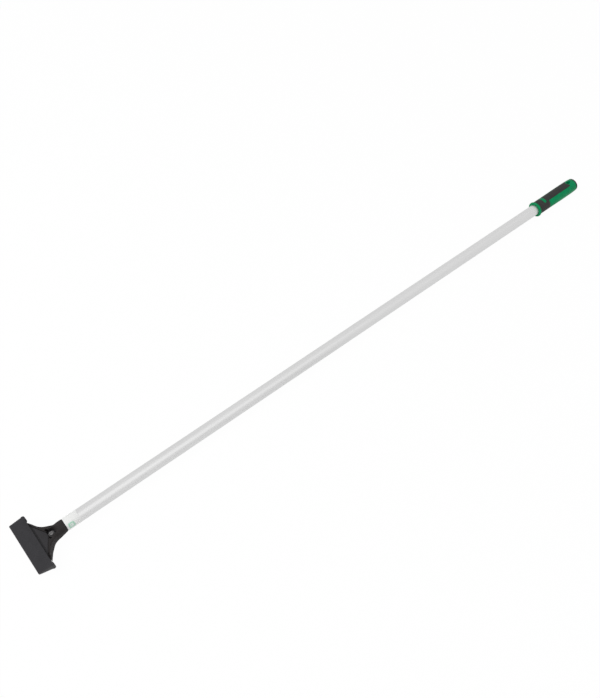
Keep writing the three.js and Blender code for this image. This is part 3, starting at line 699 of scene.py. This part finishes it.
def screw_form(sizes):
    """Pan-head screw: a plain shank with a chamfered tip and a crowned head with a cross recess.

    The crown is a quarter ellipse: out = head - width (1 - cos t), up = top - height (1 - sin t).
    """
    t = np.linspace(0, pi / 2, 9)[:, None]
    crown = np.concatenate([HEAD_RADIUS - CROWN_WIDTH * (1 - np.cos(t)),
                            SCREW_TOP - CROWN_HEIGHT + CROWN_HEIGHT * np.sin(t)], 1)
    tip = SCREW_SEAT - SCREW_LENGTH
    shank = [[SHANK_TIP, tip], [SHANK_RADIUS, tip + SHANK_CHAMFER], [SHANK_RADIUS, SCREW_SEAT],
             [HEAD_RADIUS - HEAD_CHAMFER, SCREW_SEAT], [HEAD_RADIUS, SCREW_SEAT + HEAD_CHAMFER]]
    profile = np.concatenate([shank, crown, [[CROWN_FLAT, SCREW_TOP]]])
    body = upright("screw", profile, SCREW_X, 0, 72)
    arms = [[[SCREW_X - a, -b], [SCREW_X + a, -b], [SCREW_X + a, b], [SCREW_X - a, b]]
            for a, b in ((RECESS_REACH, RECESS_HALF), (RECESS_HALF, RECESS_REACH))]
    low, high = SCREW_TOP - RECESS_DEPTH, SCREW_TOP + OVER
    shaped(body, [rounded("recess", arm, low, high) for arm in arms])
    softened(body, sizes.screw_round, 45)
    return body


def flat_ring(name, outer, low, high, sides):
    """A flat ring round the screw, its outer rims broken by 0.15 of its thickness."""
    cut = (high - low) * 0.15
    profile = [[SCREW_HOLE, low], [outer - cut, low], [outer, low + cut], [outer, high - cut],
               [outer - cut, high], [SCREW_HOLE, high]]
    ring = upright(name, profile, SCREW_X, 0, sides, loop=True)
    shaded(ring)
    return ring


def rivet_form():
    """Blind rivet under the tube: domed head, shank, and the bulb drawn up inside the spigot.

    The dome is a quarter ellipse: out = head cos t, down = crown sin t from its seat.
    """
    t = np.linspace(1.5 * pi, 2 * pi, 12)[1:, None]
    dome = np.concatenate([RIVET_HEAD * np.cos(t), RIVET_SEAT + RIVET_CROWN * np.sin(t)], 1)
    out, down = BULB_CHAMFER
    shank = [[RIVET_SHANK, RIVET_SEAT], [RIVET_SHANK, BULB_BOTTOM], [BULB_RADIUS, BULB_BOTTOM],
             [BULB_RADIUS, BULB_TOP - down], [BULB_RADIUS - out, BULB_TOP]]
    profile = np.concatenate([[[RIVET_FLAT, RIVET_SEAT - RIVET_CROWN]], dome, shank])
    rivet = upright("tube_rivet", profile, RIVET_X, 0, 48)
    shaded(rivet)
    return rivet


def grip_outline():
    """The grip behind its flange: collar, swelling belly, waist and pommel on one smooth curve."""
    knots = [[FLANGE_BACK, COLLAR_RADIUS], [COLLAR_END, COLLAR_RADIUS],
             [GRIP_LENGTH * BELLY_SHARE, COLLAR_RADIUS + BELLY_SWELL],
             [GRIP_LENGTH - WAIST_FROM_END, COLLAR_RADIUS + WAIST_SWELL],
             [GRIP_LENGTH - TAPER_FROM_END, COLLAR_RADIUS - TAPER],
             [GRIP_LENGTH - CAP_LENGTH, POMMEL_RADIUS]]
    return smooth_line(knots, 150)


def grip_form(name):
    """The whole grip turned: shallow mouth, rolled flange, then the outline to the cap's seat."""
    profile = np.concatenate([smooth_line(FLANGE_CURVE, 72), grip_outline()[1:]])
    return turned(name, profile, 160, place=from_flange)


def slot_outline(along, half, length):
    """A long round-ended outline about a point on the grip."""
    radius = min(length / 2, half)
    reach, side = length / 2 - radius, half - radius
    front, back = along + reach, along - reach
    corners = enumerate([(front, side), (back, side), (back, -side), (front, -side)])
    return np.concatenate([arc(x, y, radius, quarter * pi / 2, (quarter + 1) * pi / 2, 16)
                           for quarter, (x, y) in corners])


def panel_outline(grow):
    """Plan of the rubber panel: square inside the collar, rounded corners before the hang hole."""
    half, end = PANEL_HALF + grow, PANEL_END + grow
    low = arc(end - PANEL_CORNER, -half + PANEL_CORNER, PANEL_CORNER, -pi / 2, 0, 10)
    high = arc(end - PANEL_CORNER, half - PANEL_CORNER, PANEL_CORNER, 0, pi / 2, 10)
    return np.concatenate([[[PANEL_START, -half]], low, high, [[PANEL_START, half]]])


def unlooped(outline):
    """Leaves out the points of an outline that fall on the one before."""
    near = 1e-6
    keep = np.linalg.norm(outline - np.roll(outline, 1, 0), axis=1) > near
    return outline[keep]


def skin_space(grow):
    """The space of the rubber: a collar with a window above and below, and two panels.

    Its tools end on levels of their own, so that no two of their faces fall together.
    """
    far = 2 * FLANGE_RADIUS
    near, farther = far - 2 * OVER, far + 2 * OVER
    start, end = FLANGE_BACK + SLIVER - grow, COLLAR_END + grow
    collar = turned("space", [[start, far], [end, far]], 64, place=from_flange)
    panels = rounded("panels", panel_outline(grow), -near, near, place=from_flange)
    shaped(collar, [panels], "UNION")
    window = slot_outline(ACCENT_AT, ACCENT_HALF - grow, ACCENT_LENGTH - 2 * grow)
    margin = HOLE_RIM - grow
    rim = slot_outline(HOLE_AT, HOLE_WIDTH / 2 + margin, HOLE_LENGTH + 2 * margin)
    inner = grip_outline() - [0, SKIN_DEPTH + grow]
    inner = np.concatenate([[inner[0] - [OVER, 0]], inner])
    shaped(collar, [
        rounded("window", unlooped(window), -farther, farther, place=from_flange),
        rounded("rim", unlooped(rim), -farther, farther, place=from_flange),
        turned("inside", inner, 160, place=from_flange),
    ])
    return triangulated(collar)


def core_form(sizes):
    """Hard core: flange, bore, hang hole, the cap's hole and the recess for the rubber."""
    core = grip_form("grip_core_shell")
    far = 2 * FLANGE_RADIUS
    hole = slot_outline(HOLE_AT, HOLE_WIDTH / 2, HOLE_LENGTH)
    stem = STEM_RADIUS + STEM_GAP
    stem_end = GRIP_LENGTH - CAP_LENGTH - (STEM_LENGTH + SEAM)
    shaped(core, [
        turned("bore", [[-OVER, GRIP_BORE], [BORE_END, GRIP_BORE]], 96, place=from_flange),
        rounded("hole", unlooped(hole), -far, far, place=from_flange),
        turned("stem", [[stem_end, stem], [GRIP_LENGTH, stem]], 48, place=from_flange),
        skin_space(SEAM),
    ])
    softened(core, sizes.small_round)
    return core


def skin_form(sizes):
    """Rubber collar and panels, cut from the grip's own form so that they lie flush with it."""
    skin = grip_form("grip_rubber")
    shaped(skin, [skin_space(0)], "INTERSECT")
    softened(skin, sizes.small_round)
    return skin


def cap_form():
    """Domed end cap on a stem."""
    start, rim = GRIP_LENGTH - CAP_LENGTH, POMMEL_RADIUS - SEAM
    knots = [[start + along, rim - drawn_in] for along, drawn_in in CAP_CURVE]
    dome = smooth_line([*knots, [GRIP_LENGTH, CAP_FLAT]], 40)
    stem = [[start - STEM_LENGTH, STEM_RADIUS - STEM_CHAMFER],
            [start - STEM_LENGTH + STEM_CHAMFER, STEM_RADIUS],
            [start + SEAM, STEM_RADIUS], [start + SEAM, rim - CAP_SEAT]]
    cap = turned("grip_end_cap", np.concatenate([stem, dome]), 128, place=from_flange)
    shaded(cap)
    return cap


# ---- Operators ----


def settings(context):
    """The sizes and the colours that the panel shows."""
    return context.scene.scraper_sizes, context.scene.scraper_colours


class SCRAPER_OT_guard(bpy.types.Operator):
    """Build the blade guard"""

    bl_idname = "scraper.guard"
    bl_label = "Blade guard"

    def execute(self, context):
        sizes, colours = settings(context)
        finish = moulded("guard_plastic", colours.guard, rough=0.5)
        finished(guard_form(sizes), "guard", finish.material, "blade_guard")
        return {"FINISHED"}


class SCRAPER_OT_blade(bpy.types.Operator):
    """Finish the steel blade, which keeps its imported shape"""

    bl_idname = "scraper.blade"
    bl_label = "Blade"

    def execute(self, context):
        _, colours = settings(context)
        finish = drawn_metal("blade_steel", colours.steel, rough=0.32)
        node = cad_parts["blade"]
        node.data.materials.clear()
        node.data.materials.append(finish.material)
        return {"FINISHED"}


class SCRAPER_OT_head(bpy.types.Operator):
    """Build the moulded head"""

    bl_idname = "scraper.head"
    bl_label = "Head"

    def execute(self, context):
        sizes, colours = settings(context)
        finish = moulded("head_plastic", colours.head, rough=0.55, sheen=0.06)
        finished(head_form(sizes), "handle_and_head", finish.material, "head_body")
        return {"FINISHED"}


class SCRAPER_OT_clamp(bpy.types.Operator):
    """Build the clamp plate"""

    bl_idname = "scraper.clamp"
    bl_label = "Clamp plate"

    def execute(self, context):
        sizes, colours = settings(context)
        finish = moulded("clamp_plastic", colours.clamp, rough=0.45)
        finished(clamp_form(sizes), "clamp", finish.material, "clamp_plate")
        return {"FINISHED"}


class SCRAPER_OT_fasteners(bpy.types.Operator):
    """Build the clamp screw, its washer and nut, and the rivet under the tube"""

    bl_idname = "scraper.fasteners"
    bl_label = "Fasteners"

    def execute(self, context):
        sizes, colours = settings(context)
        even = {"rough": 0.3, "lines": (1, 1, 1), "size": 1 * MM}
        plated = drawn_metal("plated_steel", colours.plated, **even)
        finished(screw_form(sizes), "screw", plated.material, "clamp_screw")
        washer = flat_ring("screw_washer", WASHER_RADIUS, TONGUE_TOP, SCREW_SEAT, 72)
        finished(washer, "clamp", plated.material, "clamp_washer")
        nut = flat_ring("screw_nut", NUT_HALF / cos(pi / 6), NUT_BOTTOM, NUT_TOP, 6)
        finished(nut, "handle_and_head", plated.material, "clamp_nut")
        alloy = drawn_metal("rivet_aluminium", colours.tube, **even)
        finished(rivet_form(), "handle_and_head", alloy.material, "spigot_rivet")
        return {"FINISHED"}


class SCRAPER_OT_tube(bpy.types.Operator):
    """Build the handle tube"""

    bl_idname = "scraper.tube"
    bl_label = "Tube"

    def execute(self, context):
        _, colours = settings(context)
        finish = drawn_metal(
            "tube_aluminium", colours.tube, rough=0.42, lines=(200, 1, 1), depth=0.0004 * MM)
        edge = TUBE_RADIUS - TUBE_CHAMFER
        wall = [[0, TUBE_INNER], [0, edge], [TUBE_CHAMFER, TUBE_RADIUS],
                [TUBE_END - TUBE_CHAMFER, TUBE_RADIUS], [TUBE_END, edge], [TUBE_END, TUBE_INNER]]
        tube = turned("handle", wall, 160, loop=True)
        shaped(tube, [rivet_hole()])
        shaded(tube)
        finished(tube, "handle_and_head", finish.material, "handle_tube")
        return {"FINISHED"}


class SCRAPER_OT_label(bpy.types.Operator):
    """Build the wrap-round label with its plain patch"""

    bl_idname = "scraper.label"
    bl_label = "Label"

    def execute(self, context):
        sizes, colours = settings(context)
        ripple, depth = 1.2 * MM, 0.004 * MM
        finish = Finish("label_film", colours.label, roughness=0.35)
        finish.bump(finish.noise(ripple), depth)
        self.patch(finish, sizes, colours)
        run, step = LABEL_EDGE
        wall = [[LABEL_START, LABEL_INNER], [LABEL_START, LABEL_RADIUS - step],
                [LABEL_START + run, LABEL_RADIUS], [LABEL_END - run, LABEL_RADIUS],
                [LABEL_END, LABEL_RADIUS - step], [LABEL_END, LABEL_INNER]]
        label = turned("label", wall, 160, loop=True)
        shaded(label)
        finished(label, "handle_and_head", finish.material, "tube_label")
        return {"FINISHED"}

    @staticmethod
    def patch(finish, sizes, colours):
        """Prints a plain rounded frame round a paler middle.

        With a and b the distances from its middle along the tube and round it, a^4 + b^4 is under
        the fourth power of half the length for the frame, and of that less the line for the middle.
        """
        split = finish.add("ShaderNodeSeparateXYZ")
        finish.link(finish.coords, split.inputs["Vector"])

        def maths(operation, first, second=0.0):
            node = finish.add("ShaderNodeMath", operation=operation)
            for socket, value in zip(node.inputs, (first, second)):
                if isinstance(value, (int, float)):
                    socket.default_value = value
                else:
                    finish.link(value, socket)
            return node.outputs["Value"]

        middle_x = float(SHOULDER[0]) + sizes.patch_from_shoulder
        along = maths("SUBTRACT", split.outputs["X"], middle_x)
        up = maths("SUBTRACT", split.outputs["Z"], float(SHOULDER[2]))
        angle = maths("ARCTAN2", maths("MULTIPLY", split.outputs["Y"], -1.0), up)
        round_way = maths("MULTIPLY", maths("SUBTRACT", angle, PATCH_TURN), LABEL_RADIUS * MM)
        far = maths("ADD", maths("POWER", maths("ABSOLUTE", along), 4.0),
                    maths("POWER", maths("ABSOLUTE", round_way), 4.0))
        half = sizes.patch_length / 2
        frame_share = maths("LESS_THAN", far, half ** 4)
        middle_share = maths("LESS_THAN", far, (half - sizes.patch_line) ** 4)
        strength = maths("SUBTRACT", frame_share, maths("MULTIPLY", middle_share, PATCH_MIDDLE))
        mix = finish.add("ShaderNodeMix", data_type="RGBA")
        finish.link(strength, mix.inputs["Factor"])
        mix.inputs["A"].default_value = (*colours.label, 1)
        mix.inputs["B"].default_value = (*colours.patch, 1)
        finish.link(mix.outputs["Result"], finish.shader.inputs["Base Color"])


class SCRAPER_OT_grip(bpy.types.Operator):
    """Build the grip's hard core, rubber skin and end cap"""

    bl_idname = "scraper.grip"
    bl_label = "Grip"

    def execute(self, context):
        sizes, colours = settings(context)
        green = moulded("green_plastic", colours.green, rough=0.4, depth=0.006 * MM, sheen=0.12)
        rubber = moulded(
            "black_rubber", colours.rubber, rough=0.68, grain=0.25 * MM, depth=0.02 * MM)
        finished(core_form(sizes), "handle_and_head", green.material, "grip_core")
        finished(skin_form(sizes), "handle_and_head", rubber.material, "grip_skin")
        finished(cap_form(), "handle_and_head", rubber.material, "end_cap")
        return {"FINISHED"}


class SCRAPER_OT_stage(bpy.types.Operator):
    """Set up the floor, the light and the camera"""

    bl_idname = "scraper.stage"
    bl_label = "Stage"

    def execute(self, context):
        scene = context.scene
        scene.view_settings.view_transform = "Standard"
        self.floor(scene)
        self.world(scene)
        self.lamps(scene)
        self.camera(scene)
        return {"FINISHED"}

    @staticmethod
    def floor(scene):
        """A white plane just under the part: white to the eye, with the part's faint shadow."""
        reach, drop = 30.0, 0.2 * MM
        white, glow_share = (0.92, 0.92, 0.92, 1), 0.98
        corners = [(-reach, -reach, 0), (reach, -reach, 0), (reach, reach, 0), (-reach, reach, 0)]
        mesh = bpy.data.meshes.new("floor")
        mesh.from_pydata(corners, [], [(0, 1, 2, 3)])
        floor = bpy.data.objects.new("floor", mesh)
        floor.location.z = -drop
        scene.collection.objects.link(floor)
        material = bpy.data.materials.new("floor_white")
        material.use_nodes = True
        nodes, links = material.node_tree.nodes, material.node_tree.links
        nodes.clear()
        diffuse = nodes.new("ShaderNodeBsdfDiffuse")
        diffuse.inputs["Color"].default_value = white
        glow = nodes.new("ShaderNodeEmission")
        share = nodes.new("ShaderNodeMath")
        share.operation = "MULTIPLY"
        share.inputs[1].default_value = glow_share
        mix = nodes.new("ShaderNodeMixShader")
        output = nodes.new("ShaderNodeOutputMaterial")
        links.new(seen(nodes, links), share.inputs[0])
        links.new(share.outputs["Value"], mix.inputs["Fac"])
        links.new(diffuse.outputs["BSDF"], mix.inputs[1])
        links.new(glow.outputs["Emission"], mix.inputs[2])
        links.new(mix.outputs["Shader"], output.inputs["Surface"])
        mesh.materials.append(material)

    @staticmethod
    def world(scene):
        """White all round, full where it is seen and weaker as the ambient light."""
        ambient = 0.36
        world = bpy.data.worlds.new("studio")
        scene.world = world
        world.use_nodes = True
        nodes, links = world.node_tree.nodes, world.node_tree.links
        nodes.clear()
        strength = nodes.new("ShaderNodeMath")
        strength.operation = "MAXIMUM"
        strength.inputs[1].default_value = ambient
        white = nodes.new("ShaderNodeBackground")
        white.inputs["Color"].default_value = (1, 1, 1, 1)
        output = nodes.new("ShaderNodeOutputWorld")
        links.new(seen(nodes, links), strength.inputs[0])
        links.new(strength.outputs["Value"], white.inputs["Strength"])
        links.new(white.outputs["Background"], output.inputs["Surface"])

    @staticmethod
    def lamps(scene):
        """Round lamps that face the part: name, place, length, width, watts, and if mirrored.

        A key lamp from beyond the guard and a broad fill from the camera's side light the part
        without being mirrored in it. The strip box is only mirrored: it lies along the tube and
        gives the metal its long soft highlight.
        """
        for name, place, long, wide, watts, mirrored in (
            ("key", (-2.3, 0.9, 2.4), 2.2, 2.2, 76.0, False),
            ("fill", (0.3, -2.6, 2.0), 3.5, 3.5, 30.0, False),
            ("strip", (-0.5, -0.7, 2.1), 3.0, 2.4, 6.0, True),
        ):
            light = bpy.data.lights.new(name, "AREA")
            light.shape, light.size, light.size_y, light.energy = "ELLIPSE", long, wide, watts
            lamp = bpy.data.objects.new(name, light)
            lamp.location = place
            lamp.rotation_mode = "QUATERNION"
            lamp.rotation_quaternion = (-lamp.location).to_track_quat("-Z", "Y")
            lamp.visible_glossy = mirrored
            lamp.visible_diffuse = not mirrored
            scene.collection.objects.link(lamp)

    @staticmethod
    def camera(scene):
        """The photograph's view, fitted to its outline: from above and before the head."""
        data = bpy.data.cameras.new("camera")
        data.sensor_width, data.lens = 36, 41.614
        camera = bpy.data.objects.new("camera", data)
        right, up = (0.78198, -0.6233, 0.0), (0.5166, 0.6481, 0.5596)
        back, eye = (-0.3488, -0.4376, 0.8288), from_shoulder([-11.1, -617.06, 1227.13])
        camera.matrix_world = Matrix([*np.transpose([right, up, back, eye]).tolist(), [0, 0, 0, 1]])
        data.clip_start, data.clip_end = 0.05, 100
        scene.collection.objects.link(camera)
        scene.camera = camera


class SCRAPER_PT_panel(bpy.types.Panel):
    """Lists the operators and the sizes and colours they use"""

    bl_label = "Blade scraper"
    bl_idname = "SCRAPER_PT_panel"
    bl_space_type = "VIEW_3D"
    bl_region_type = "UI"
    bl_category = "Scraper"

    def draw(self, context):
        for group in settings(context):
            for key in group.bl_rna.properties.keys():
                if key not in ("rna_type", "name"):
                    self.layout.prop(group, key)
        for operator in OPERATORS:
            self.layout.operator(operator.bl_idname)


OPERATORS = (
    SCRAPER_OT_guard,
    SCRAPER_OT_blade,
    SCRAPER_OT_head,
    SCRAPER_OT_clamp,
    SCRAPER_OT_fasteners,
    SCRAPER_OT_tube,
    SCRAPER_OT_label,
    SCRAPER_OT_grip,
    SCRAPER_OT_stage,
)
CLASSES = (ScraperSizes, ScraperColours, *OPERATORS, SCRAPER_PT_panel)


def register():
    for item in CLASSES:
        bpy.utils.register_class(item)
    bpy.types.Scene.scraper_sizes = PointerProperty(type=ScraperSizes)
    bpy.types.Scene.scraper_colours = PointerProperty(type=ScraperColours)


def unregister():
    del bpy.types.Scene.scraper_sizes
    del bpy.types.Scene.scraper_colours
    for item in reversed(CLASSES):
        bpy.utils.unregister_class(item)


def main():
    register()
    bpy.ops.scraper.guard()
    bpy.ops.scraper.blade()
    bpy.ops.scraper.head()
    bpy.ops.scraper.clamp()
    bpy.ops.scraper.fasteners()
    bpy.ops.scraper.tube()
    bpy.ops.scraper.label()
    bpy.ops.scraper.grip()
    bpy.ops.scraper.stage()


if __name__ == "__main__":
    main()
